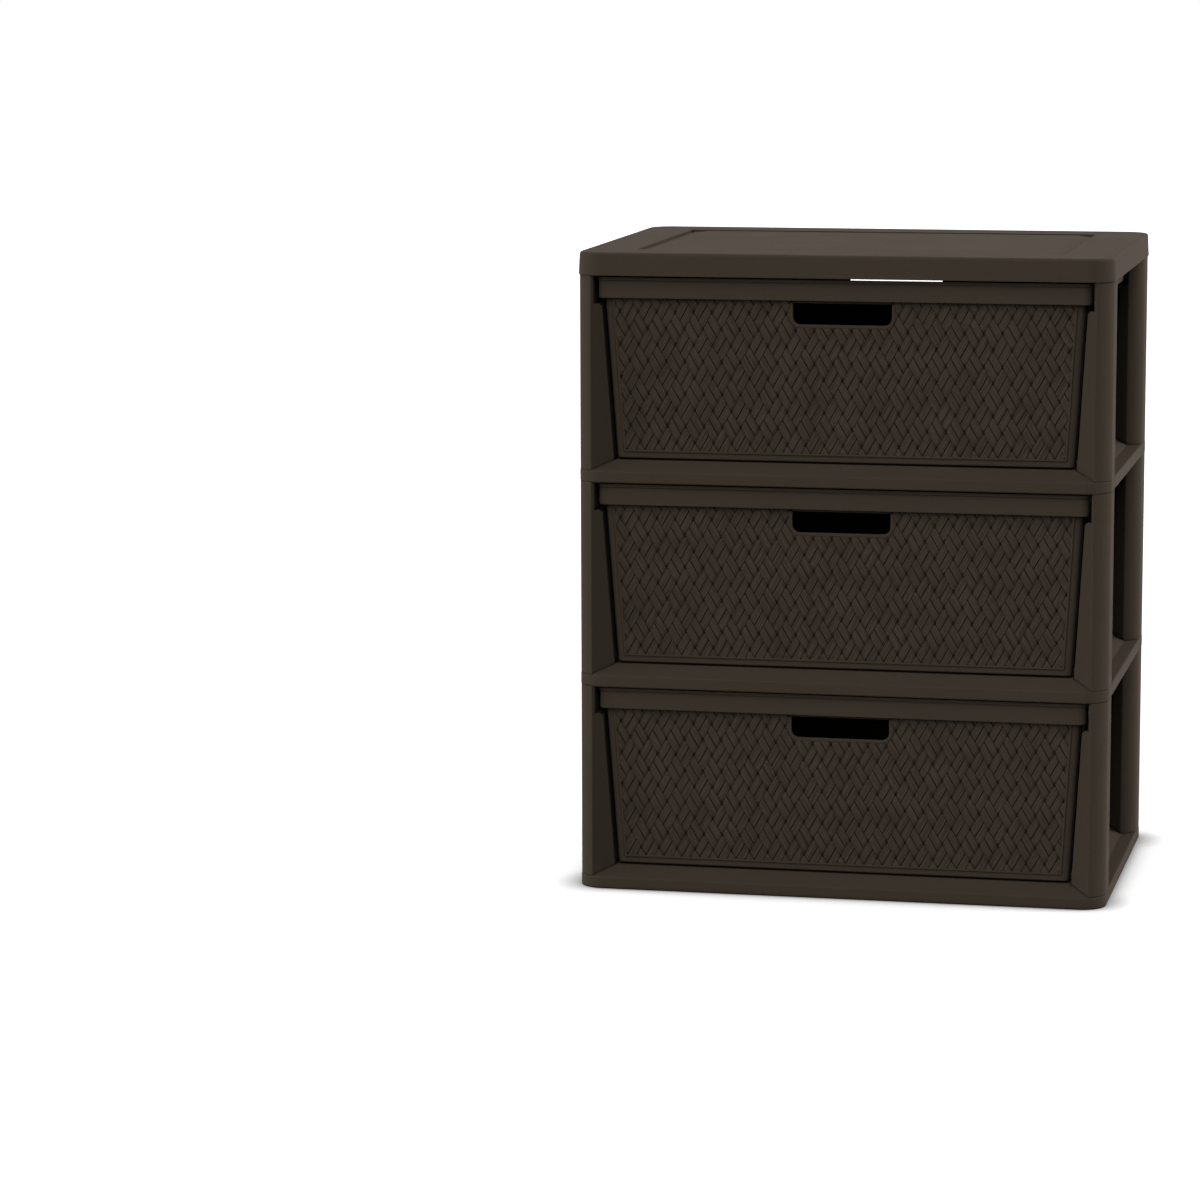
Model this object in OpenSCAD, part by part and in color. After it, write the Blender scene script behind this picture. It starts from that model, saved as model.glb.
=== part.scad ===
// Stacking storage tower: three lift-in drawers on open corner posts, under a moulded cover.
// Millimetres, +Z up. The origin is the centre of the base frame's underside, the front faces -Y.

/* [Tower] */
// Width over the frames
tower_w = 540; // [500:5:640]
// Depth over the frames
tower_d = 387; // [350:1:460]
// Height from one frame's underside to the next one's
bay_pitch = 209.6; // [190:0.1:260]
// Radius of the upright corners
corner_r = 25; // [18:0.5:28]

/* [Frames] */
// Height of a frame's outer skirt
frame_h = 12.4; // [11:0.1:20]
// Wall of the frames and the cover
shell_t = 2.4; // [2:0.1:3]
// Radius of the frames' outer edges
edge_r = 1.5; // [0.6:0.1:2]
// Width of the flat band along each side that the posts stand on
side_band = 14.5; // [13.5:0.1:17]
// Width of the flat band along the front and the back
front_band = 1.6; // [1.6:0.1:6]
// Run of the slope from a side band up to the platform
side_slope = 23; // [18:0.5:30]
// Run of the slope from the front band up to the platform
front_slope = 20; // [14:0.5:26]
// Height of the platform over the bands
platform_rise = 9; // [6:0.5:12]
// Width of the platform between its slope and the opening, along the sides
ledge_side = 26; // [20:1:40]
// Width of the platform between its slope and the opening, along the front
ledge_front = 43; // [30:1:60]
// Corner radius of the opening
opening_r = 10; // [6:1:20]
// Height of the wall round the opening
opening_lip = 12.5; // [10:0.5:14]
// Height of the back rail over the bands
rail_h = 10.5; // [9.5:0.5:14]
// Thickness of the back rail
rail_t = 3; // [2:0.5:3.5]
// Width of the tab in the middle of the rail
rail_tab_w = 31; // [20:1:50]
// Height of that tab over the rail
rail_tab_h = 2; // [1:0.5:4]

/* [Cover] */
// Height of the cover
cover_h = 23.2; // [18:0.1:32]
// How far the cover's lower edge stands out past the frames
cover_overhang = 0.8; // [0:0.1:2]
// How far its skirt leans in towards the top
cover_draft = 1; // [0:0.1:2]
// Radius of its top edge
cover_edge_r = 3; // [1:0.5:5]
// Depth of the panel sunk in its top
panel_depth = 1; // [0.6:0.1:2]
// Depth of the trough along each end of the panel
trough_depth = 2.8; // [2:0.1:4]
// Border between the sunk panel and the cover's side edges
panel_side_border = 53; // [40:1:70]
// Border between the sunk panel and the cover's front and back edges
panel_front_border = 51; // [35:1:70]
// Run of the slope from the panel down into its troughs
panel_slope = 18; // [8:1:26]
// Depth of the pockets in the panel's corners
pocket_depth = 9; // [4:0.5:10]
// Length of a pocket's sides
pocket_leg = 20; // [14:1:30]
// Depth of the ribs under the cover
cover_rib_h = 7; // [4:0.5:10]

/* [Posts] */
// Thickness of the posts' sheet
sheet_t = 2.2; // [1.6:0.1:2.6]
// How far the posts stand in from the frames' faces
post_inset = 0.3; // [0:0.1:1]
// Width of a post's front face
post_face = 15.3; // [14:0.1:20]
// Depth of a post over its rounded front and back corners
post_side = 71.7; // [62:0.1:90]
// Gap from the front face's plane to the inner flange's back edge
post_flange = 43; // [34:1:52]
// How far the wing's edge stands out past the flange
wing_lip = 1; // [0.5:0.1:1.5]
// Clearance between a post and the drawer's body
body_clearance = 3.3; // [2:0.1:4]
// Clearance between a post's upper part and the drawer's rim
rim_clearance = 2.7; // [2:0.1:3.5]
// Height of the step in the post below the drawer's rim
notch_gap = 6; // [4:0.5:9]
// Cut on the wing's upper inner corner
wing_bevel = 3; // [1:0.5:4]
// Length of the spigots that join posts and frames
spigot_l = 4.8; // [3:0.1:5]
// Clearance round a spigot
spigot_clearance = 0.2; // [0.1:0.05:0.4]

/* [Drawers] */
// Gap from a frame's side face in to a drawer's rim
rim_side_gap = 20.7; // [19:0.1:24]
// Gap from a frame's front face in to a drawer's rim
rim_front_gap = 7; // [4:0.5:12]
// Headroom over a drawer's rim
headroom = 1.9; // [1.5:0.1:12]
// Wall of a drawer
drawer_t = 2; // [1.6:0.1:3]
// Height of the rim
rim_h = 21; // [15:0.5:26]
// How far the rim stands out from the body
rim_step = 6.5; // [5:0.1:9]
// How far the bead on the rim's edge stands out
rim_bead = 0.8; // [0.4:0.1:1.5]
// Height of that bead
rim_bead_h = 3; // [2:0.5:5]
// Corner radius of the rim
rim_r = 9; // [7:0.5:20]
// Corner radius of the body
body_r = 6; // [4.5:0.5:12]
// Lean of the body's walls, in degrees
wall_lean = 3.6; // [2:0.1:4.5]
// Cut round the bottom edge
foot_chamfer = 2; // [1:0.1:2.6]
// Clearance between a drawer and the platform it slides on
seat_gap = 0.3; // [0.2:0.1:1]
// Width of the hand slots
slot_w = 100; // [70:1:160]
// Height of the hand slots
slot_h = 21.5; // [18:0.5:34]
// Radius of the slots' lower corners
slot_r = 8; // [4:0.5:9]
// Strip of wall left between a slot and the rim
slot_bar = 3; // [2:0.5:8]
// Width of the raised border round a slot
bezel_w = 3; // [2:0.5:5]
// Width of the raised bead round each panel
bead_w = 2; // [1.5:0.1:3]
// How far bezel and bead stand out
bead_h = 0.9; // [0.5:0.1:1.2]
// Plain strip between a panel's bead and the body's rounded corner
panel_margin = 1.5; // [0.5:0.5:12]
// Plain strip between a panel's bead and the bottom edge
panel_foot = 8; // [6:0.5:16]
// Depth that the panels are sunk below the wall's face, for the weave laid in them
panel_sunk = 0.8; // [0.3:0.1:1]

/* [Hidden] */
$fn = 48;

eps = 0.5;
half_w = tower_w / 2;
half_d = tower_d / 2;
post_h = bay_pitch - frame_h;
notch_mark_w = 16;
notch_mark_h = 6;

// The platform and its opening
slope_x = half_w - side_band;
slope_y = half_d - front_band;
platform_x = slope_x - side_slope;
platform_y = slope_y - front_slope;
opening_x = platform_x - ledge_side;
opening_y = platform_y - ledge_front;

// The posts' plan, for the post at the front right
post_x = half_w - post_inset;
post_y = half_d - post_inset;
post_r = corner_r - post_inset;
crease_x = post_x - post_face;
crease_y = post_y - post_r + sqrt(post_r ^ 2 - max(0, post_r - post_face) ^ 2);
back_post_shift = tower_d - 2 * post_inset - post_side;
boss_wall = 2.9;
spigot_wide = 8;
spigot_long = 22;
spigot_x = half_w - side_band + 1.2 + spigot_wide / 2 + spigot_clearance;
spigot_y = post_y - post_side / 2;
socket_depth = spigot_l + 0.3;

// The drawer's body, from its bottom up to the rim
drawer_z = platform_rise + seat_gap;
rim_x = half_w - rim_side_gap;
rim_y = half_d - rim_front_gap;
body_h = post_h - drawer_z - headroom - rim_h;
lean = tan(wall_lean);
body_x = rim_x - rim_bead - rim_step - body_h * lean;
body_y = rim_y - rim_bead - rim_step - body_h * lean;

// The posts' inner faces, measured up from the frame that they stand on
wing_x = body_x + body_clearance - drawer_z * lean;
notch_x = rim_x + rim_clearance;
notch_z = drawer_z + body_h - notch_gap;
back_leg_x = notch_x + wing_lip + sheet_t + 0.4;

// Colours
plastic = [0.235, 0.2, 0.17];

// A block of height h on a rounded rectangle. The child is one corner's half section, from the
// corner's axis at x = 0 outwards, and x0 and y0 are that axis's place. It is turned at the corners
// and drawn along the sides.
module swept_block(x0, y0, h) {
    translate([-x0, -y0, 0])
        cube([2 * x0, 2 * y0, h]);
    for (sx = [-1, 1], sy = [-1, 1])
        translate([sx * x0, sy * y0, 0])
            rotate_extrude()
                children();
    for (turn = [0, 180]) {
        rotate([0, 0, turn])
            translate([0, y0, 0])
                rotate([90, 0, 0])
                    linear_extrude(2 * y0)
                        translate([x0, 0])
                            children();
        rotate([0, 0, turn + 90])
            translate([0, x0, 0])
                rotate([90, 0, 0])
                    linear_extrude(2 * x0)
                        translate([y0, 0])
                            children();
    }
}

// A flat plate on a rounded rectangle, x and y being its half sizes
module plate(x, y, r, h) {
    linear_extrude(h)
        rounded_rect(x, y, r);
}

module rounded_rect(x, y, r) {
    square([2 * x, 2 * (y - r)], center = true);
    square([2 * (x - r), 2 * y], center = true);
    for (sx = [-1, 1], sy = [-1, 1])
        translate([sx * (x - r), sy * (y - r)])
            circle(r);
}

// A block with four sloped sides and sharp hips, given by its half sizes below and above
module hipped_block(x_low, y_low, x_high, y_high, h) {
    intersection() {
        rotate([90, 0, 0])
            linear_extrude(2 * y_low + 2 * eps, center = true)
                polygon([[-x_low, 0], [x_low, 0], [x_high, h], [-x_high, h]]);
        rotate([90, 0, 90])
            linear_extrude(2 * x_low + 2 * eps, center = true)
                polygon([[-y_low, 0], [y_low, 0], [y_high, h], [-y_high, h]]);
    }
}

module in_all_corners() {
    for (sx = [0, 1], sy = [0, 1])
        mirror([sx, 0, 0])
            mirror([0, sy, 0])
                children();
}

// The slope and the platform that a drawer sits on, over the bands at z = 0
module platform() {
    intersection() {
        hipped_block(slope_x, slope_y, platform_x, platform_y, platform_rise);
        plate(half_w - edge_r, half_d - edge_r, corner_r - edge_r, platform_rise);
    }
}

module spigot_plan(clearance) {
    translate([spigot_x, -spigot_y])
        square([spigot_wide + 2 * clearance, spigot_long + 2 * clearance], center = true);
}

// Solid corner block that a post's spigots plug into, from beside the spigot out to the skirt
module boss_plan() {
    inner_x = spigot_x - spigot_wide / 2 - boss_wall;
    long = spigot_long + 2 * boss_wall;
    translate([inner_x, -spigot_y - long / 2])
        square([half_w - inner_x, long]);
}

// Half section of a frame's skirt, with both outer edges rounded
module skirt_section() {
    square([corner_r - edge_r, frame_h]);
    translate([0, edge_r])
        square([corner_r, frame_h - 2 * edge_r]);
    for (z = [edge_r, frame_h - edge_r])
        translate([corner_r - edge_r, z])
            circle(edge_r);
}

module skirt() {
    swept_block(half_w - corner_r, half_d - corner_r, frame_h)
        skirt_section();
}

// One frame, with its underside at z = 0
module frame(sockets_below) {
    difference() {
        union() {
            difference() {
                union() {
                    skirt();
                    translate([0, 0, frame_h])
                        platform();
                }
                frame_hollow();
            }
            back_rail();
        }
        translate([0, 0, -1])
            plate(opening_x, opening_y, opening_r, frame_h + platform_rise + 2);
        // Groove along the platform's front and back edges
        for (sy = [-1, 1])
            translate([0, sy * (platform_y - 6), frame_h + platform_rise])
                cube([2 * opening_x, 1.4, 1.2], center = true);
        // Shallow notch in the back of the opening's wall
        translate([0, opening_y, frame_h + platform_rise])
            cube([notch_mark_w, shell_t, 2 * notch_mark_h], center = true);
        in_all_corners()
            translate([0, 0, frame_h - socket_depth])
                linear_extrude(socket_depth + 1)
                    spigot_plan(spigot_clearance);
        if (sockets_below)
            in_all_corners()
                translate([0, 0, -1])
                    linear_extrude(socket_depth + 1)
                        spigot_plan(spigot_clearance);
    }
}

// The space under a frame's skin, without its ribs, corner blocks and opening wall
module frame_hollow() {
    top = frame_h + platform_rise;
    difference() {
        union() {
            translate([0, 0, -1])
                plate(half_w - shell_t, half_d - shell_t, corner_r - shell_t, frame_h - shell_t + 1);
            intersection() {
                translate([0, 0, frame_h - shell_t - 0.01])
                    platform();
                plate(half_w - shell_t, half_d - shell_t, corner_r - shell_t, top);
            }
        }
        translate([0, 0, top - opening_lip])
            plate(opening_x + shell_t, opening_y + shell_t, opening_r + shell_t, opening_lip + 1);
        in_all_corners()
            linear_extrude(frame_h)
                boss_plan();
        for (turn = [0, 180])
            rotate([0, 0, turn])
                frame_ribs(top);
    }
}

// Ribs from the skirt to the opening's wall, on one side and along the front
module frame_ribs(top) {
    rib_t = 1.8;
    foot = top - opening_lip;
    for (k = [-1, 0, 1])
        translate([opening_x + shell_t / 2, k * opening_y * 0.6 - rib_t / 2, foot])
            cube([half_w - opening_x - shell_t, rib_t, opening_lip + 1]);
    for (k = [-2:2])
        translate([k * opening_x * 0.42 - rib_t / 2, opening_y + shell_t / 2, foot])
            cube([rib_t, half_d - opening_y - shell_t, opening_lip + 1]);
}

// The low rail that keeps a drawer from sliding out at the back
module back_rail() {
    rail_x = crease_x - 6;
    translate([-rail_x, half_d - edge_r - rail_t, frame_h - shell_t])
        cube([2 * rail_x, rail_t, rail_h + shell_t]);
    translate([-rail_tab_w / 2, half_d - edge_r - rail_t, frame_h])
        cube([rail_tab_w, rail_t, rail_h + rail_tab_h]);
}

module base_frame() {
    color(plastic)
        frame(false);
}

module lower_frame() {
    color(plastic)
        translate([0, 0, bay_pitch])
            frame(true);
}

module upper_frame() {
    color(plastic)
        translate([0, 0, 2 * bay_pitch])
            frame(true);
}

// Half section of the cover at a corner, drawn in by inset, with its top edge rounded
module cover_section(inset, h, round_r) {
    low = corner_r + cover_overhang - inset;
    high = low - cover_draft;
    polygon([[0, 0], [low, 0], [high, h - round_r], [high - round_r, h - round_r],
        [high - round_r, h], [0, h]]);
    translate([high - round_r, h - round_r])
        circle(round_r);
}

// The panel sunk in the cover's top, falling into a trough along each end
module panel_sink(grow) {
    x = half_w - panel_side_border + grow;
    y = half_d - panel_front_border + grow;
    rotate([90, 0, 0])
        linear_extrude(2 * y, center = true)
            polygon([[-x, 1], [-x, -trough_depth], [-x + panel_slope, -panel_depth],
                [x - panel_slope, -panel_depth], [x, -trough_depth], [x, 1]]);
}

// The pocket in the panel's corner at the back right, its floor falling away towards the corner
module corner_pocket(grow) {
    x = half_w - panel_side_border + grow;
    y = half_d - panel_front_border + grow;
    leg = pocket_leg + 2 * grow;
    low = pocket_depth * leg / pocket_leg;
    run = leg / sqrt(2);
    intersection() {
        translate([x - leg, y - leg, -low - 1])
            cube([leg, leg, low + 2]);
        translate([x, y, 0])
            rotate([90, 0, 225])
                linear_extrude(2 * leg, center = true)
                    polygon([[-1, 1], [-1, -low], [0, -low], [run, 0], [run, 1]]);
    }
}

module top_cover() {
    color(plastic)
        translate([0, 0, 3 * bay_pitch])
            difference() {
                cover_block(0, cover_h, cover_edge_r);
                cover_hollow();
                translate([0, 0, cover_h]) {
                    panel_sink(0);
                    in_all_corners()
                        corner_pocket(0);
                }
                in_all_corners()
                    translate([0, 0, -1])
                        linear_extrude(socket_depth + 1)
                            spigot_plan(spigot_clearance);
            }
}

module cover_block(inset, h, round_r) {
    swept_block(half_w - corner_r, half_d - corner_r, h)
        cover_section(inset, h, round_r);
}

// The space under the cover, without its corner blocks, its ribs and the underside of the panel
module cover_hollow() {
    deck_z = cover_h - shell_t;
    difference() {
        translate([0, 0, -1])
            cover_block(shell_t, deck_z + 1, 1);
        translate([0, 0, deck_z]) {
            panel_sink(shell_t);
            in_all_corners()
                corner_pocket(shell_t);
        }
        in_all_corners()
            linear_extrude(cover_h)
                boss_plan();
        cover_ribs(deck_z);
    }
}

module cover_ribs(deck_z) {
    rib_t = 1.8;
    for (k = [-2:2])
        translate([k * half_w * 0.36 - rib_t / 2, -half_d + 1, deck_z - cover_rib_h])
            cube([rib_t, tower_d - 2, cover_rib_h + 1]);
    for (k = [-1:1])
        translate([-half_w + 1, k * half_d * 0.5 - rib_t / 2, deck_z - cover_rib_h])
            cube([tower_w - 2, rib_t, cover_rib_h + 1]);
}

// Plan of the post at the front right, drawn in from its outer faces by inset: rounded at the front
// and at the back, with the wing's plane cutting across its inner front corner
module post_plan(inset) {
    reach = 50;
    far_x = wing_x - 10;
    intersection() {
        translate([post_x - reach, post_side / 2 - post_y])
            rounded_rect(reach - inset, post_side / 2 - inset, post_r - inset);
        behind_wing(inset, far_x);
    }
}

// What lies behind the wing's plane, or behind the plane at this depth in it, from far_x outwards
module behind_wing(depth, far_x) {
    across = crease_x - crease_y + depth * sqrt(2);
    polygon([[far_x, across - far_x], [half_w, across - half_w], [half_w, 0], [far_x, 0]]);
}

// What lies outside a post's inner faces: along the drawer's body below, clear of its rim above
module outside_drawer(inset) {
    bevel_z = notch_z - wing_bevel;
    far = half_w + 20;
    rotate([90, 0, 0])
        linear_extrude(tower_d + 20, center = true)
            polygon([
                [wing_x + inset, -eps],
                [far, -eps],
                [far, post_h + eps],
                [notch_x + inset, post_h + eps],
                [notch_x + inset, notch_z - inset],
                [wing_x + bevel_z * lean + wing_bevel + inset, notch_z - inset],
                [wing_x + (bevel_z - inset) * lean + inset, bevel_z - inset]
            ]);
}

// The post at the front right: a channel with rounded corners that is open to the inside. Its front
// leg runs on as a wing across the corner and a flange along the drawer, stepped back under the rim.
// Plates with spigots close its ends.
module post() {
    end_t = 2.6;
    difference() {
        intersection() {
            linear_extrude(post_h)
                difference() {
                    post_plan(0);
                    translate([0, post_flange - post_y])
                        square([back_leg_x, post_side]);
                }
            union() {
                outside_drawer(wing_lip);
                difference() {
                    outside_drawer(0);
                    translate([0, 0, -1])
                        linear_extrude(post_h + 2)
                            behind_wing(sheet_t, 0);
                }
            }
        }
        intersection() {
            translate([0, 0, end_t])
                linear_extrude(post_h - 2 * end_t)
                    post_plan(sheet_t);
            outside_drawer(sheet_t + wing_lip);
        }
    }
    translate([0, 0, -spigot_l])
        linear_extrude(spigot_l + 1)
            spigot_plan(0);
    translate([0, 0, post_h - 1])
        linear_extrude(spigot_l + 1)
            spigot_plan(0);
}

// A post in its place, its foot cut to the platform's slope: bay 0 is the lowest, left and back are
// 0 or 1. The back posts stand the same way round as the front ones.
module placed_post(bay, left, back) {
    color(plastic)
        translate([0, 0, bay * bay_pitch + frame_h])
            mirror([left, 0, 0])
                difference() {
                    translate([0, back * back_post_shift, 0])
                        post();
                    platform();
                }
}

// The drawer's body from height low up to height high, drawn in by inset. Its walls lean outwards.
module body_block(inset, low, high) {
    x = body_x + low * lean - inset;
    y = body_y + low * lean - inset;
    grow = (high - low) * lean;
    translate([0, 0, low])
        linear_extrude(high - low, scale = [(x + grow) / x, (y + grow) / y], slices = 1)
            rounded_rect(x, y, body_r - inset);
}

// The cut round the body's bottom edge
module body_foot() {
    x = body_x + foot_chamfer * lean;
    y = body_y + foot_chamfer * lean;
    low_x = x - foot_chamfer;
    low_y = y - foot_chamfer;
    linear_extrude(foot_chamfer, scale = [x / low_x, y / low_y], slices = 1)
        rounded_rect(low_x, low_y, body_r - foot_chamfer);
}

// Draws its 2D child on the front wall of the drawer: x across, y up the wall, raised from
// depth below the wall's face to height above it
module on_wall(wall_y, depth, height) {
    translate([0, -wall_y, 0])
        rotate([90 + wall_lean, 0, 0])
            translate([0, 0, -depth])
                linear_extrude(depth + height)
                    children();
}

module slot_plan(grow) {
    top = (body_h - slot_bar) / cos(wall_lean);
    x = slot_w / 2 + grow;
    low = top - slot_h - grow;
    r = slot_r + grow;
    translate([-x, low + r])
        square([2 * x, top - low - r]);
    translate([-x + r, low])
        square([2 * (x - r), r + 1]);
    for (sx = [-1, 1])
        translate([sx * (x - r), low + r])
            circle(r);
}

// The outline of a wall's panel, drawn in by inset at the sides and the bottom
module panel_plan(half_low, inset) {
    foot = panel_foot + inset;
    top = body_h / cos(wall_lean);
    low = half_low - body_r - panel_margin - inset;
    slant = lean * cos(wall_lean);
    polygon([[-low - foot * slant, foot], [low + foot * slant, foot],
        [low + top * slant, top], [-low - top * slant, top]]);
}

// The bead round a wall's panel: one band up each side and one along the bottom
module panel_bead(half_low) {
    difference() {
        panel_plan(half_low, 0);
        panel_field(half_low);
    }
}

// The sunk field inside the bead
module panel_field(half_low) {
    panel_plan(half_low, bead_w);
}

// One drawer, with its underside at z = 0
module drawer() {
    difference() {
        union() {
            difference() {
                union() {
                    body_foot();
                    body_block(0, foot_chamfer, body_h);
                }
                for (turn = [0, 180])
                    rotate([0, 0, turn]) {
                        on_wall(body_y, panel_sunk, 1)
                            panel_field(body_x);
                        rotate([0, 0, 90])
                            on_wall(body_x, panel_sunk, 1)
                                panel_field(body_y);
                    }
            }
            rim();
            for (turn = [0, 180])
                rotate([0, 0, turn]) {
                    on_wall(body_y, drawer_t / 2, bead_h) {
                        panel_bead(body_x);
                        slot_plan(bezel_w);
                    }
                    rotate([0, 0, 90])
                        on_wall(body_x, drawer_t / 2, bead_h)
                            panel_bead(body_y);
                }
        }
        body_block(drawer_t, drawer_t, body_h + drawer_t + eps);
        for (turn = [0, 180])
            rotate([0, 0, turn])
                on_wall(body_y, 20, 20)
                    slot_plan(0);
    }
}

// The rim: a ledge out from the body, an upright band and a bead round its edge
module rim() {
    band_x = rim_x - rim_bead;
    band_y = rim_y - rim_bead;
    translate([0, 0, body_h])
        difference() {
            union() {
                plate(band_x, band_y, rim_r - rim_bead, rim_h);
                translate([0, 0, rim_h - rim_bead_h])
                    plate(rim_x, rim_y, rim_r, rim_bead_h);
            }
            translate([0, 0, drawer_t])
                plate(band_x - drawer_t, band_y - drawer_t, rim_r - rim_bead - drawer_t, rim_h);
        }
}

module placed_drawer(bay) {
    color(plastic)
        translate([0, 0, bay * bay_pitch + frame_h + drawer_z])
            drawer();
}

top_cover();
upper_frame();
lower_frame();
base_frame();
placed_post(2, 1, 0);  // post_top_front_left
placed_post(2, 0, 0);  // post_top_front_right
placed_post(2, 1, 1);  // post_top_back_left
placed_post(2, 0, 1);  // post_top_back_right
placed_post(1, 1, 0);  // post_middle_front_left
placed_post(1, 0, 0);  // post_middle_front_right
placed_post(1, 1, 1);  // post_middle_back_left
placed_post(1, 0, 1);  // post_middle_back_right
placed_post(0, 1, 0);  // post_bottom_front_left
placed_post(0, 0, 0);  // post_bottom_front_right
placed_post(0, 1, 1);  // post_bottom_back_left
placed_post(0, 0, 1);  // post_bottom_back_right
placed_drawer(2);  // drawer_top
placed_drawer(1);  // drawer_middle
placed_drawer(0);  // drawer_bottom
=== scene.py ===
"""Looks of the drawer tower: plastic finishes, the woven relief on the drawers' walls, the posts' hems,
floor, light and camera. Metres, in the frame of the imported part: +Z up, the front faces -Y."""
import math

import bmesh
import bpy
from mathutils import Matrix, Vector


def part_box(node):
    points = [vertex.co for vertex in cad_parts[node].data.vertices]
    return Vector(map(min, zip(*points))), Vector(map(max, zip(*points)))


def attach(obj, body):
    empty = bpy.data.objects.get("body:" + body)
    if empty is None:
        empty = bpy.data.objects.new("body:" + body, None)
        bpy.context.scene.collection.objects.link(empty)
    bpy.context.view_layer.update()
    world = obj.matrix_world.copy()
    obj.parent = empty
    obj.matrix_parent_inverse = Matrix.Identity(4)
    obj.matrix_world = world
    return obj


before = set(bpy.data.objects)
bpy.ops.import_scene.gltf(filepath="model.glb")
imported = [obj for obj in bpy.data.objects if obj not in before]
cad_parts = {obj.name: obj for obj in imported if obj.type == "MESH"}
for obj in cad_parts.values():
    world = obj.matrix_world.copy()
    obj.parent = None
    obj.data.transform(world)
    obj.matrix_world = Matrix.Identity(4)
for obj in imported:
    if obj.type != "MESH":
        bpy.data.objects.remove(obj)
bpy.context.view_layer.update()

MM = 0.001

# The drawers' walls, as in the part's source
WALL_LEAN = math.radians(3.6)
RIM_HEIGHT = 21 * MM
RIM_BEAD = 0.8 * MM
RIM_STEP = 6.5 * MM
BODY_RADIUS = 6 * MM
PANEL_MARGIN = 1.5 * MM
PANEL_FOOT = 8 * MM
BEAD_WIDTH = 2 * MM
PANEL_SUNK = 0.8 * MM
SLOT_WIDTH = 100 * MM
SLOT_HEIGHT = 21.5 * MM
SLOT_RADIUS = 8 * MM
SLOT_BAR = 3 * MM
BEZEL_WIDTH = 3 * MM
SLOT_CORNER_STEPS = 12

# The weave: bands of two strands that cross in rhombic cells
CELL_WIDTH = 18.88 * MM
ROW_HEIGHT = 16.6 * MM
FIRST_ROW = 1.8 * MM
STRAND_GAP = 0.65 * MM
STRAND_RISE = 1.6 * MM
STRAND_SHOULDER = 0.35 * MM
STRAND_BED = 0.25 * MM
STRAND_PINCH = 1.5 * MM
TUCK = 0.5 * MM
CLEARANCE = 0.1 * MM
SHARP_ANGLE = math.radians(40)

# A strand's mesh. Along it, its cell runs from -1 to 1. Across it, its band is 1 wide.
STRAND_RINGS = 9
STRAND_SIDES = 6
STRAND_REACH = 1.25
BAND_QUARTER = 0.25
FACE_LEVEL = 0.1
PINCH_POWER = 14
PINCH_MOST = 2.3
DIVE_POWER = 10
STRAND_DIVE = 0.2
CROWN_LEAST = 0.05

# The hem along the inner edge of each post, which turns in behind the flange, towards the drawer
POST_INSET = 0.3 * MM
POST_DEPTH = 71.7 * MM
FLANGE_DEPTH = 43 * MM
HEM_THICKNESS = 2.6 * MM
HEM_WIDTH = 5.2 * MM
HEM_BODY_GAP = 1.3 * MM
HEM_RIM_GAP = 2.5 * MM
HEM_HEADROOM = 0.7 * MM
HEM_OVERLAP = 0.2 * MM
HEM_CORNER = 0.8 * MM
HEM_FILLET = 3 * MM
HEM_UPPER_WIDTH = 3.4 * MM
HEM_FOOT_DROP = 1.3 * MM
HEM_FOOT_SLOPE = 1.8 * MM
HEM_STEP_DROP = 9 * MM
HEM_STEP_SLOPE = 4 * MM

# The brown plastic that every moulding is made of, and what varies all over it
BROWN = (0.066, 0.0515, 0.038)
ROUGHNESS = 0.75
REFRACTION = 1.46
SPECULAR = 0.03
CLOUD_SCALE = 9
CLOUD_TINT = 0.10
SPECK_SCALE = 900
SPECK_TINT = 0.18
GLOSS_SCALE = 14
GLOSS_CLOUD = 0.12
GLOSS_SPECK = 0.10
GLOSS_RUB = 0.05
WAVE_SCALE = 22

# Its edges, lighter as slight wear and as painted highlight, the painted shade in its crevices, and the
# lines along its strands
EDGE_SAMPLES = 6
EDGE_LIGHTEN_SPREAD = 9
EDGE_LIGHTEN_SCALE = 60
# How much lighter edges are drawn: slight wear and painted highlight on the mouldings, painted highlight
# on the strands
EDGE_WEAR_AND_HIGHLIGHT = 0.35
STRAND_EDGE_HIGHLIGHT = 0.8
# Reach of the painted shade that ambient occlusion puts into crevices
CREVICE_SHADE_REACH = 4 * MM
FIBRE_ACROSS = 2.6
FIBRE_ALONG = 32
FIBRE_TINT = 0.9
FIBRE_DEPTH = 1.6 * MM

# Floor, background and light
FLOOR_HALF = 12.0
FLOOR_SEEN = 0.9
FLOOR_BOUNCE = 0.14
FLOOR_GLOW = 0.6
# The floor's painted contact shadow: ambient occlusion that darkens it where the object stands
CONTACT_SHADOW_REACH = 35 * MM
CONTACT_SHADOW_DEPTH = 1.7
CONTACT_SHADOW_SAMPLES = 8
WORLD_LIGHT = 0.2
LAMP_DISTANCE = 4

# Camera, for a square picture of this many pixels
PICTURE_SIZE = 1200
FOCAL_PIXELS = 4352.24
CAMERA_PLACE = Vector((702.15, -4454.84, 981.94)) * MM
CAMERA_YAW = math.radians(12.531)
CAMERA_PITCH = math.radians(8.888)
CAMERA_ROLL = math.radians(-0.187)
SENSOR_WIDTH = 36


# ---------------------------------------------------------------------------------------------
# Camera
# ---------------------------------------------------------------------------------------------

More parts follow.
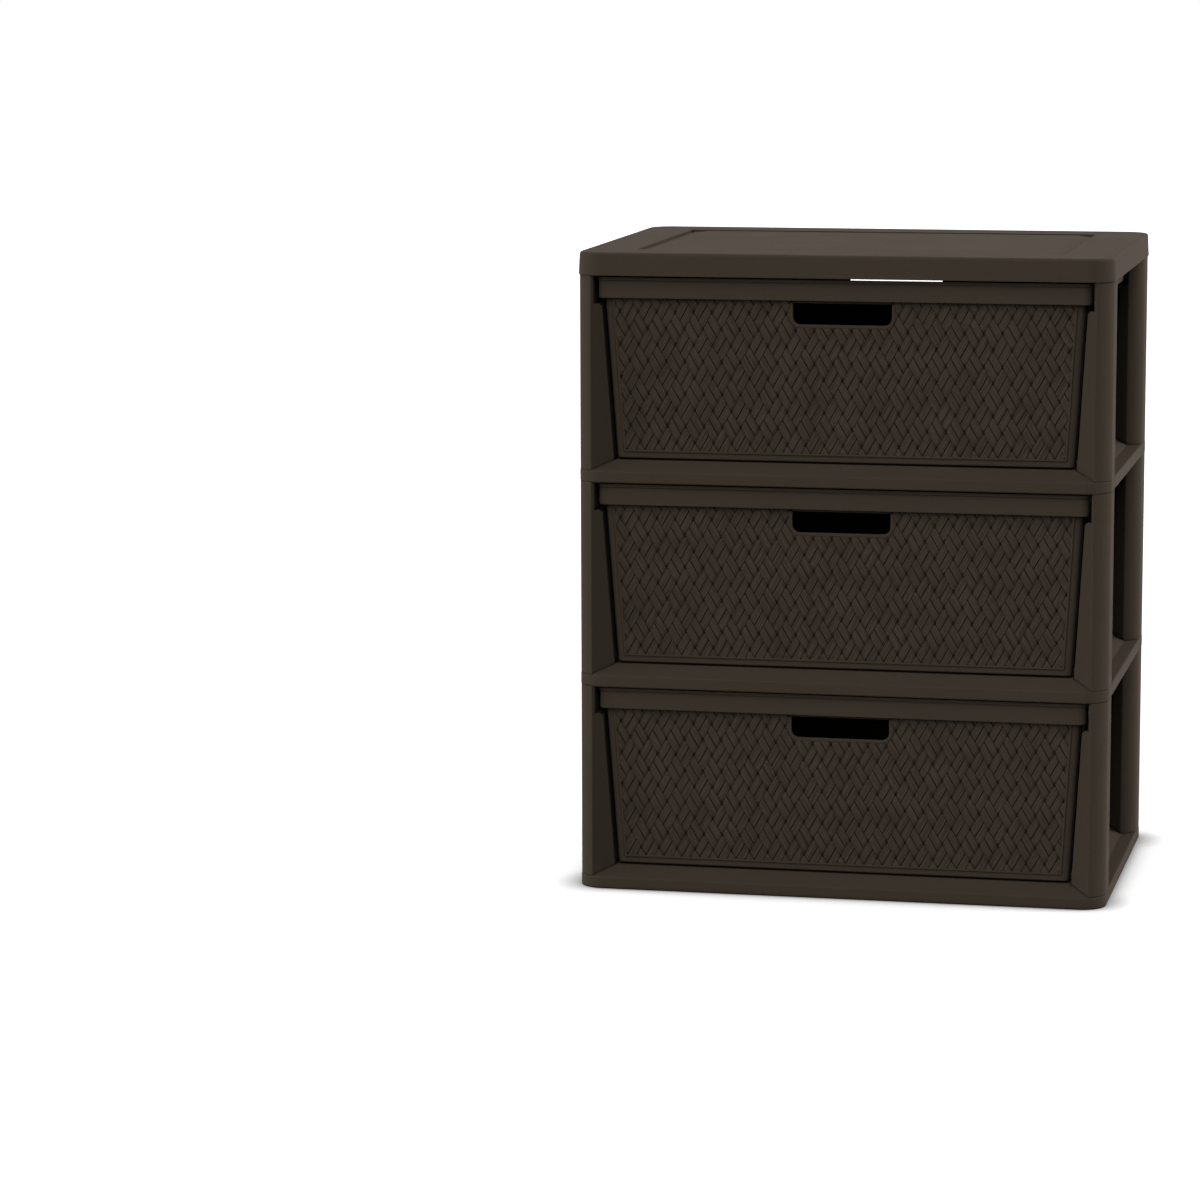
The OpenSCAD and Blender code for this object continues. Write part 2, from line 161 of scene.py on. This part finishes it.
def make_camera():
    """The camera, turned by its yaw and pitch and then rolled about its own line of sight."""
    level = math.cos(CAMERA_PITCH)
    ahead = Vector((-math.sin(CAMERA_YAW) * level, math.cos(CAMERA_YAW) * level, -math.sin(CAMERA_PITCH)))
    right = Vector((math.cos(CAMERA_YAW), math.sin(CAMERA_YAW), 0))
    turn = Matrix.Rotation(-CAMERA_ROLL, 3, ahead)
    right = turn @ right
    up = right.cross(ahead)
    data = bpy.data.cameras.new("camera")
    data.sensor_width = SENSOR_WIDTH
    data.lens = FOCAL_PIXELS * SENSOR_WIDTH / PICTURE_SIZE
    camera = bpy.data.objects.new("camera", data)
    turned = Matrix((right, up, -ahead)).transposed().to_4x4()
    camera.matrix_world = Matrix.Translation(CAMERA_PLACE) @ turned
    bpy.context.scene.collection.objects.link(camera)
    bpy.context.scene.camera = camera


make_camera()
bpy.context.scene.view_settings.view_transform = "Standard"

# ---------------------------------------------------------------------------------------------
# Node trees
# ---------------------------------------------------------------------------------------------

class Field:
    """A number that a node tree works out. Arithmetic on it adds math nodes."""

    def __init__(self, nodes, socket):
        self.nodes = nodes
        self.socket = socket

    def math(self, operation, *others):
        inputs = dict(enumerate((self,) + others))
        return Field(self.nodes, self.nodes.add("ShaderNodeMath", inputs, operation=operation))

    def __add__(self, other):
        return self.math("ADD", other)

    def __sub__(self, other):
        return self.math("SUBTRACT", other)

    def __mul__(self, other):
        return self.math("MULTIPLY", other)

    def __truediv__(self, other):
        return self.math("DIVIDE", other)

    def __pow__(self, other):
        return self.math("POWER", other)

    def size(self):
        return self.math("ABSOLUTE")

    def sign(self):
        return self.math("SIGN")

    def above(self, other):
        return self.math("GREATER_THAN", other)


class Nodes:
    """Adds nodes to one tree. An input given as a socket or a Field is linked, and others are set."""

    def __init__(self, tree):
        self.tree = tree

    def add(self, kind, inputs=None, out=0, **settings):
        node = self.tree.nodes.new(kind)
        for name, value in settings.items():
            setattr(node, name, value)
        for name, value in (inputs or {}).items():
            for item in value if isinstance(value, list) else [value]:
                self.feed(node.inputs[name], item)
        return node.outputs[out]

    def feed(self, socket, value):
        if isinstance(value, Field):
            value = value.socket
        if isinstance(value, bpy.types.NodeSocket):
            self.tree.links.new(value, socket)
        else:
            socket.default_value = value

    def field(self, kind, inputs=None, out=0, **settings):
        return Field(self, self.add(kind, inputs, out, **settings))

    def parts(self, vector):
        """The three numbers of a vector."""
        node = self.add("ShaderNodeSeparateXYZ", {0: vector}).node
        return [Field(self, socket) for socket in node.outputs]

    def vector(self, x, y, z):
        return self.add("ShaderNodeCombineXYZ", {0: x, 1: y, 2: z})

    def join(self, *geometries):
        return self.add("GeometryNodeJoinGeometry", {0: list(geometries)})


def geometry_tree(name, sizes):
    """A geometry tree with named sizes as inputs. Returns its Nodes, the inputs and the output node."""
    tree = bpy.data.node_groups.new(name, "GeometryNodeTree")
    tree.interface.new_socket("Geometry", in_out="OUTPUT", socket_type="NodeSocketGeometry")
    for size in sizes:
        tree.interface.new_socket(size, in_out="INPUT", socket_type="NodeSocketFloat")
    tree.interface.new_socket("Material", in_out="INPUT", socket_type="NodeSocketMaterial")
    nodes = Nodes(tree)
    group_in = tree.nodes.new("NodeGroupInput")
    group_out = tree.nodes.new("NodeGroupOutput")
    given = {s.name: Field(nodes, s) for s in group_in.outputs if s.name}
    return nodes, given, group_out


# ---------------------------------------------------------------------------------------------
# The weave
# ---------------------------------------------------------------------------------------------

WEAVE_SIZES = ["Half Width", "Side Lean", "Foot", "Top", "Slot Half Width", "Slot Foot", "Slot Radius",
               "Cell Width", "Row Height", "First Row", "Gap", "Rise", "Shoulder", "Bed", "Sunk", "Pinch"]


def strand(nodes, given, side):
    """One strand of a rising band, on the side 1 or -1 of its middle: a flat ribbon with bevelled
    shoulders, whose ends dive under the bands across. It carries its place along and across as fibre."""
    line = nodes.add("GeometryNodeCurvePrimitiveLine", {"Start": (-1, 0, 0), "End": (1, 0, 0)})
    line = nodes.add("GeometryNodeResampleCurve", {"Curve": line, "Count": STRAND_RINGS})
    ring = nodes.add("GeometryNodeCurvePrimitiveCircle", {"Resolution": STRAND_SIDES, "Radius": 1})
    bar = nodes.add("GeometryNodeCurveToMesh", {"Curve": line, "Profile Curve": ring, "Fill Caps": True})

    place = nodes.add("GeometryNodeInputPosition")
    bar = nodes.add("GeometryNodeStoreNamedAttribute", {"Geometry": bar, "Name": "fibre", "Value": place},
                    data_type="FLOAT_VECTOR", domain="POINT")
    along, across, up = nodes.parts(place)
    width, rise = given["Cell Width"], given["Row Height"]
    edge = ((width * 0.5) ** 2 + rise ** 2) ** 0.5
    along = ((along.size() * -1 + 1) ** 2 * -1 + 1) * along.sign() * STRAND_REACH
    top, low = up.above(FACE_LEVEL), (up * -1).above(FACE_LEVEL)
    outer = (across * side).above(0)
    pinch = outer * (along ** PINCH_POWER).math("MINIMUM", PINCH_MOST) * given["Pinch"] / edge * side
    half = (given["Gap"] * -0.5 - top * given["Shoulder"]) / edge + BAND_QUARTER
    across = half * across.sign() + BAND_QUARTER * side - pinch
    crown = (along ** DIVE_POWER * -STRAND_DIVE + 1).math("MAXIMUM", CROWN_LEAST)
    face = given["Rise"] + (top - 1) * given["Shoulder"]
    height = (low * -1 + 1) * crown * face - low * given["Bed"] - given["Sunk"]
    place = nodes.vector(width * (along * 0.25 - across * 0.5), rise * (along * 0.5 + across), height)
    return nodes.add("GeometryNodeSetPosition", {"Geometry": bar, "Position": place})


def lattice(nodes, given):
    """The middles of the weave's cells, and a field that is 1 on its odd rows, which are half a cell
    over, and 0 on the others."""
    width, rise = given["Cell Width"], given["Row Height"]
    columns = ((given["Half Width"] + given["Top"] * given["Side Lean"]) / width).math("CEIL") * 2 + 3
    rows = (given["Top"] / rise).math("CEIL") + 2
    grid = nodes.add("GeometryNodeMeshGrid", {
        "Size X": width * (columns - 1), "Vertices X": columns,
        "Size Y": rise * (rows - 1), "Vertices Y": rows})
    x, y, z = nodes.parts(nodes.add("GeometryNodeInputPosition"))
    row = (y / rise + (rows - 1) / 2).math("ROUND")
    odd = row.math("FLOORED_MODULO", 2)
    place = nodes.vector(x + width * odd * 0.5, row * rise + given["First Row"], 0)
    held = nodes.add("GeometryNodeCaptureAttribute", {"Geometry": grid}, domain="POINT")
    held.node.capture_items.new("FLOAT", "Odd")
    nodes.feed(held.node.inputs["Odd"], odd)
    cells = nodes.add("GeometryNodeSetPosition", {"Geometry": held, "Position": place})
    return cells, Field(nodes, held.node.outputs["Odd"])


def field_block(nodes, given):
    """The field that the weave fills, as a block right through it."""
    block = nodes.add("GeometryNodeMeshCube", {"Size": (2, 2, 2)})
    x, y, z = nodes.parts(nodes.add("GeometryNodeInputPosition"))
    up = (y + 1) * (given["Top"] - given["Foot"]) * 0.5 + given["Foot"]
    place = nodes.vector(x * (given["Half Width"] + up * given["Side Lean"]), up, z * given["Row Height"])
    return nodes.add("GeometryNodeSetPosition", {"Geometry": block, "Position": place})


def slot_block(nodes, given):
    """The hand slot and its bezel, as a block right through the weave."""
    high = given["Top"] * 2 - given["Slot Foot"]
    outline = nodes.add("GeometryNodeCurvePrimitiveQuadrilateral", {
        "Width": given["Slot Half Width"] * 2, "Height": high - given["Slot Foot"]})
    outline = nodes.add("GeometryNodeFilletCurve", {
        "Curve": outline, "Radius": given["Slot Radius"], "Count": SLOT_CORNER_STEPS}, mode="POLY")
    depth = given["Row Height"]
    line = nodes.add("GeometryNodeCurvePrimitiveLine", {
        "Start": nodes.vector(0, given["Top"], depth), "End": nodes.vector(0, given["Top"], depth * -1)})
    return nodes.add("GeometryNodeCurveToMesh", {
        "Curve": line, "Profile Curve": outline, "Fill Caps": True})


def weave_tree():
    """A tree that makes one wall's weave in the wall's own plane: x across, y up, z out of it."""
    nodes, given, group_out = geometry_tree("woven panel", WEAVE_SIZES)
    rising = nodes.join(strand(nodes, given, 1), strand(nodes, given, -1))
    falling = nodes.add("GeometryNodeTransform", {"Geometry": rising, "Scale": (-1, 1, 1)})
    falling = nodes.add("GeometryNodeFlipFaces", {"Mesh": falling})
    cells, odd = lattice(nodes, given)
    rising = nodes.add("GeometryNodeInstanceOnPoints", {
        "Points": cells, "Selection": odd.above(0.5), "Instance": rising})
    falling = nodes.add("GeometryNodeInstanceOnPoints", {
        "Points": cells, "Selection": (odd * -1).above(-0.5), "Instance": falling})
    weave = nodes.add("GeometryNodeRealizeInstances", {"Geometry": nodes.join(rising, falling)})
    weave = nodes.add("GeometryNodeMeshBoolean", {"Mesh 2": [weave, field_block(nodes, given)]},
                      operation="INTERSECT", solver="MANIFOLD")
    weave = nodes.add("GeometryNodeMeshBoolean", {"Mesh 1": weave, "Mesh 2": slot_block(nodes, given)},
                      operation="DIFFERENCE", solver="MANIFOLD")
    weave = nodes.add("GeometryNodeRealizeInstances", {"Geometry": weave})
    weave = nodes.add("GeometryNodeSetMaterial", {"Geometry": weave, "Material": given["Material"]})
    nodes.feed(group_out.inputs["Geometry"], weave)
    return nodes.tree


def woven_panel(tree, sizes, material):
    """The mesh that the tree makes with these sizes."""
    mesh = bpy.data.meshes.new("panel")
    panel = bpy.data.objects.new("panel", mesh)
    bpy.context.scene.collection.objects.link(panel)
    modifier = panel.modifiers.new("weave", "NODES")
    modifier.node_group = tree
    for socket in tree.interface.items_tree:
        if socket.in_out == "INPUT":
            modifier[socket.identifier] = sizes[socket.name] if socket.name in sizes else material
    bpy.context.view_layer.update()
    made = bpy.data.meshes.new_from_object(panel.evaluated_get(bpy.context.evaluated_depsgraph_get()))
    bpy.data.objects.remove(panel)
    bpy.data.meshes.remove(mesh)
    return made


def put_on_wall(mesh, bm, distance, turn, lift):
    """Adds a panel to bm, on the wall whose foot stands this distance from the drawer's middle."""
    place = (Matrix.Rotation(turn, 4, "Z") @ Matrix.Translation((0, -distance, lift))
             @ Matrix.Rotation(math.pi / 2 + WALL_LEAN, 4, "X"))
    start = len(bm.verts)
    bm.from_mesh(mesh)
    bm.verts.ensure_lookup_table()
    bmesh.ops.transform(bm, matrix=place, verts=bm.verts[start:])


def weave_sizes(half_low, slotted):
    """Sizes of the weave on a wall whose lower edge is half_low to each side of its middle."""
    low = (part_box("drawer_top")[1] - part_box("drawer_top")[0]).z - RIM_HEIGHT
    top = low / math.cos(WALL_LEAN)
    slot_foot = (low - SLOT_BAR) / math.cos(WALL_LEAN) - SLOT_HEIGHT - BEZEL_WIDTH
    return {
        "Half Width": half_low - BODY_RADIUS - PANEL_MARGIN - BEAD_WIDTH + TUCK,
        "Side Lean": math.sin(WALL_LEAN),
        "Foot": PANEL_FOOT + BEAD_WIDTH - TUCK,
        "Top": top - CLEARANCE,
        "Slot Half Width": SLOT_WIDTH / 2 + BEZEL_WIDTH - TUCK if slotted else TUCK,
        "Slot Foot": slot_foot + TUCK if slotted else top,
        "Slot Radius": SLOT_RADIUS + BEZEL_WIDTH - TUCK if slotted else 0,
        "Cell Width": CELL_WIDTH,
        "Row Height": ROW_HEIGHT,
        "First Row": FIRST_ROW,
        "Gap": STRAND_GAP,
        "Rise": STRAND_RISE,
        "Shoulder": STRAND_SHOULDER,
        "Bed": STRAND_BED,
        "Sunk": PANEL_SUNK,
        "Pinch": STRAND_PINCH,
    }


def weave_of(drawer, panels, half_low):
    """The weave on the four walls of one drawer, as one piece: the front, the right, the back, the left.
    half_low is half the drawer's width and depth at its foot, and panels are its wide and narrow ones."""
    wide, narrow = panels
    half_width, half_depth = half_low
    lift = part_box(drawer)[0].z
    bm = bmesh.new()
    walls = ((wide, half_depth), (narrow, half_width), (wide, half_depth), (narrow, half_width))
    for quarter, (panel, distance) in enumerate(walls):
        put_on_wall(panel, bm, distance, quarter * math.pi / 2, lift)
    mesh = bpy.data.meshes.new(drawer + "_weave")
    bm.to_mesh(mesh)
    bm.free()
    mesh.materials.clear()
    mesh.materials.append(weave_plastic)
    mesh.polygons.foreach_set("material_index", [0] * len(mesh.polygons))
    mesh.shade_smooth()
    mesh.set_sharp_from_angle(angle=SHARP_ANGLE)
    piece = bpy.data.objects.new(drawer + "_weave", mesh)
    bpy.context.scene.collection.objects.link(piece)
    return piece


# ---------------------------------------------------------------------------------------------
# Plastic
# ---------------------------------------------------------------------------------------------

def plastic(name, edge_radius, grain_scale, grain_depth, wave_depth, crevice_shade, fibred=False):
    """Moulded plastic: a fine grain, faint waves from the moulding, and rounded edges that are lighter,
    partly as slight wear and partly as painted highlight. Crevices get painted shade from ambient
    occlusion, the darker the higher crevice_shade is. Fibred plastic also has fine lines along its
    strands and a stronger painted highlight on their edges."""
    material = bpy.data.materials.new(name)
    material.use_nodes = True
    tree = material.node_tree
    shader = tree.nodes["Principled BSDF"]
    nodes = Nodes(tree)
    place = nodes.add("ShaderNodeTexCoord", out="Object")

    def noise(scale, detail=2.0, rough=0.5, at=place):
        return nodes.field("ShaderNodeTexNoise", {
            "Vector": at, "Scale": scale, "Detail": detail, "Roughness": rough}, out="Fac")

    edge = nodes.add("ShaderNodeBevel", {"Radius": edge_radius}, samples=EDGE_SAMPLES)
    flat = nodes.add("ShaderNodeNewGeometry", out="Normal")
    turned = nodes.field("ShaderNodeVectorMath", {0: edge, 1: flat}, out="Value", operation="DOT_PRODUCT")
    # A noisy mask near edges that lightens them, as slight wear and as painted highlight
    wear_and_highlight = ((turned * -1 + 1) * EDGE_LIGHTEN_SPREAD).math("MINIMUM", 1) * noise(EDGE_LIGHTEN_SCALE, 4)

    cloud = noise(CLOUD_SCALE, 3)
    speck = noise(SPECK_SCALE, 1)
    shade = (cloud - 0.5) * CLOUD_TINT + (speck - 0.5) * SPECK_TINT + 1
    # Painted highlight, with slight wear, along edges; strongest along the strands' edges
    shade = shade + wear_and_highlight * (STRAND_EDGE_HIGHLIGHT if fibred else EDGE_WEAR_AND_HIGHLIGHT)
    lines = None
    if fibred:
        fibre = nodes.add("ShaderNodeAttribute", out="Vector", attribute_name="fibre")
        along, across, up = nodes.parts(fibre)
        x, y, z = nodes.parts(place)
        drawn_out = nodes.vector(across * FIBRE_ACROSS, (x + y) * FIBRE_ALONG, z * FIBRE_ALONG)
        lines = noise(1, 2, 0.6, drawn_out)
        shade = shade + (lines - 0.5) * FIBRE_TINT
    # Painted shade: ambient occlusion darkens the colour in crevices, in joints between parts and in the
    # weave's holes
    painted_ao_shade = nodes.field("ShaderNodeAmbientOcclusion", {"Distance": CREVICE_SHADE_REACH}, out="AO",
                             samples=EDGE_SAMPLES)
    shade = shade * painted_ao_shade ** crevice_shade
    red, green, blue = (shade * part for part in BROWN)
    tint = nodes.add("ShaderNodeCombineColor", {0: red, 1: green, 2: blue})
    nodes.feed(shader.inputs["Base Color"], tint)
    gloss = (noise(GLOSS_SCALE, 3) - 0.5) * GLOSS_CLOUD + (speck - 0.5) * GLOSS_SPECK + ROUGHNESS
    nodes.feed(shader.inputs["Roughness"], gloss - wear_and_highlight * GLOSS_RUB)
    shader.inputs["IOR"].default_value = REFRACTION
    shader.inputs["Specular IOR Level"].default_value = SPECULAR

    bumps = [(noise(WAVE_SCALE, 1), wave_depth), (noise(grain_scale, 2, 0.6), grain_depth)]
    if fibred:
        bumps.append((lines, FIBRE_DEPTH))
    normal = edge
    for height, depth in bumps:
        normal = nodes.add("ShaderNodeBump", {
            "Height": height, "Normal": normal, "Strength": 1.0, "Distance": depth})
    nodes.feed(shader.inputs["Normal"], normal)
    return material


# Each plastic's crevice setting is how strongly ambient occlusion paints shade into its crevices
SMOOTH = {"edge_radius": 1.6 * MM, "grain_scale": 700, "grain_depth": 0.05 * MM,
          "wave_depth": 0.2 * MM, "crevice_shade": 0.7}
cover_plastic = plastic("cover plastic", **SMOOTH)
frame_plastic = plastic("frame plastic", **SMOOTH)
drawer_plastic = plastic("drawer plastic", edge_radius=1.2 * MM, grain_scale=800, grain_depth=0.05 * MM,
                         wave_depth=0.2 * MM, crevice_shade=1.6)
weave_plastic = plastic("woven drawer plastic", edge_radius=0.4 * MM, grain_scale=800,
                        grain_depth=0.04 * MM, wave_depth=0.1 * MM, crevice_shade=1.2, fibred=True)

for name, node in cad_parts.items():
    finish = cover_plastic if name == "top_cover" else frame_plastic
    if name.startswith("drawer"):
        finish = drawer_plastic
    for slot in node.material_slots:
        slot.material = finish


# ---------------------------------------------------------------------------------------------
# The drawers' weave
# ---------------------------------------------------------------------------------------------

low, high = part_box("drawer_top")
drop = (high.z - low.z - RIM_HEIGHT) * math.tan(WALL_LEAN)
half_low = [high.x - RIM_BEAD - RIM_STEP - drop, high.y - RIM_BEAD - RIM_STEP - drop]
tree = weave_tree()
panels = [woven_panel(tree, weave_sizes(half_low[0], True), weave_plastic),
          woven_panel(tree, weave_sizes(half_low[1], False), weave_plastic)]
for level in ("top", "middle", "bottom"):
    weave = weave_of("drawer_" + level, panels, half_low)
    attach(weave, level + "_drawer")


# ---------------------------------------------------------------------------------------------
# The posts' hems
# ---------------------------------------------------------------------------------------------

def arc(x, z, radius, start, steps=5):
    """A quarter circle round a point, anticlockwise from the angle start, in degrees."""
    turns = [math.radians(start + 90 * step / steps) for step in range(steps + 1)]
    return [(x + radius * math.cos(turn), z + radius * math.sin(turn)) for turn in turns]


def hem_outline(drawer, half_width, top):
    """The hem of a right-hand post from the front, as (x, z): up along the drawer's leaning side, out
    under its rim, and up beside the rim. The drawer is half_width to each side at its foot."""
    low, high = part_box(drawer)
    rise = math.tan(WALL_LEAN)
    foot = low.z - HEM_FOOT_DROP
    shelf = high.z - RIM_HEIGHT - HEM_HEADROOM
    beside_rim = high.x + HEM_RIM_GAP

    def inner(z):
        return half_width + HEM_BODY_GAP + (z - low.z) * rise

    outer_foot = foot - HEM_FOOT_SLOPE
    step = shelf - HEM_STEP_DROP
    fillet = arc(beside_rim - HEM_FILLET, shelf + HEM_FILLET, HEM_FILLET, 270)
    return [(inner(foot), foot), (inner(shelf - HEM_CORNER), shelf - HEM_CORNER),
            (inner(shelf) + HEM_CORNER, shelf)] + fillet + [
            (beside_rim, top), (beside_rim + HEM_UPPER_WIDTH, top), (beside_rim + HEM_UPPER_WIDTH, step),
            (inner(step) + HEM_WIDTH, step - HEM_STEP_SLOPE), (inner(outer_foot) + HEM_WIDTH, outer_foot)]


def post_hems(half_width):
    """The hems of all twelve posts, as one piece."""
    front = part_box("base_frame")[0].y + POST_INSET + FLANGE_DEPTH - HEM_OVERLAP
    back_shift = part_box("base_frame")[1].y * 2 - 2 * POST_INSET - POST_DEPTH
    bm = bmesh.new()
    for drawer, above in (("drawer_bottom", "lower_frame"), ("drawer_middle", "upper_frame"),
                          ("drawer_top", "top_cover")):
        outline = hem_outline(drawer, half_width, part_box(above)[0].z)
        for side in (-1, 1):
            for y in (front, front + back_shift):
                face = bm.faces.new([bm.verts.new((x * side, y, z)) for x, z in outline])
                made = bmesh.ops.extrude_face_region(bm, geom=[face])["geom"]
                raised = [item for item in made if isinstance(item, bmesh.types.BMVert)]
                bmesh.ops.translate(bm, vec=(0, HEM_THICKNESS, 0), verts=raised)
    bmesh.ops.recalc_face_normals(bm, faces=bm.faces)
    bmesh.ops.triangulate(bm, faces=bm.faces)
    mesh = bpy.data.meshes.new("post_hems")
    bm.to_mesh(mesh)
    bm.free()
    mesh.materials.append(frame_plastic)
    piece = bpy.data.objects.new("post_hems", mesh)
    bpy.context.scene.collection.objects.link(piece)
    return piece


hems = post_hems(half_low[0])
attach(hems, "tower")


# ---------------------------------------------------------------------------------------------
# Floor, background and light
# ---------------------------------------------------------------------------------------------

def seen_directly(nodes):
    """1 for what the camera sees, also in gloss and through clear things, and 0 for light on surfaces."""
    path = nodes.add("ShaderNodeLightPath").node.outputs
    seen = Field(nodes, path["Is Camera Ray"])
    seen = seen.math("MAXIMUM", Field(nodes, path["Is Glossy Ray"]))
    return seen.math("MAXIMUM", Field(nodes, path["Is Transmission Ray"]))


def pale_floor():
    """A floor that the camera sees nearly white, with the object's shadow, a painted contact shadow from
    ambient occlusion where the object stands, and that throws little light back up."""
    mesh = bpy.data.meshes.new("floor")
    corners = [(x * FLOOR_HALF, y * FLOOR_HALF, 0) for x, y in ((-1, -1), (1, -1), (1, 1), (-1, 1))]
    mesh.from_pydata(corners, [], [(0, 1, 2, 3)])
    floor = bpy.data.objects.new("floor", mesh)
    bpy.context.scene.collection.objects.link(floor)
    material = bpy.data.materials.new("floor")
    material.use_nodes = True
    shader = material.node_tree.nodes["Principled BSDF"]
    shader.inputs["Roughness"].default_value = 1.0
    shader.inputs["Specular IOR Level"].default_value = 0.0
    shader.inputs["Emission Color"].default_value = (1, 1, 1, 1)
    nodes = Nodes(material.node_tree)
    seen = seen_directly(nodes)
    # Painted contact shadow: ambient occlusion darkens the floor's colour and its glow near the object
    painted_ao_shade = nodes.field("ShaderNodeAmbientOcclusion", {"Distance": CONTACT_SHADOW_REACH}, out="AO",
                             samples=CONTACT_SHADOW_SAMPLES)
    painted_ao_shade = painted_ao_shade ** CONTACT_SHADOW_DEPTH
    pale = (seen * (FLOOR_SEEN - FLOOR_BOUNCE) + FLOOR_BOUNCE) * painted_ao_shade
    tint = nodes.add("ShaderNodeCombineColor", {0: pale, 1: pale, 2: pale})
    nodes.feed(shader.inputs["Base Color"], tint)
    nodes.feed(shader.inputs["Emission Strength"], seen * painted_ao_shade * FLOOR_GLOW)
    mesh.materials.append(material)


def white_world():
    """A background that the camera sees white, and that lights the object only faintly."""
    world = bpy.data.worlds.new("white")
    world.use_nodes = True
    bpy.context.scene.world = world
    nodes = Nodes(world.node_tree)
    background = world.node_tree.nodes["Background"]
    background.inputs["Color"].default_value = (1, 1, 1, 1)
    nodes.feed(background.inputs["Strength"], seen_directly(nodes) * (1 - WORLD_LIGHT) + WORLD_LIGHT)


def soft_light(name, azimuth, elevation, spread, strength):
    """A broad far light. Azimuth 0 is in front of the object and 90 on its right."""
    light = bpy.data.lights.new(name, "SUN")
    light.angle = math.radians(spread)
    light.energy = strength
    lamp = bpy.data.objects.new(name, light)
    turn, lift = math.radians(azimuth), math.radians(elevation)
    towards = Vector((math.sin(turn) * math.cos(lift), -math.cos(turn) * math.cos(lift), math.sin(lift)))
    lamp.location = towards * LAMP_DISTANCE
    lamp.rotation_euler = towards.to_track_quat("Z", "Y").to_euler()
    bpy.context.scene.collection.objects.link(lamp)


pale_floor()
white_world()
soft_light("front", azimuth=-8, elevation=35, spread=60, strength=1.4)
soft_light("left", azimuth=-92, elevation=8, spread=50, strength=2.15)
soft_light("right", azimuth=118, elevation=20, spread=50, strength=2.6)
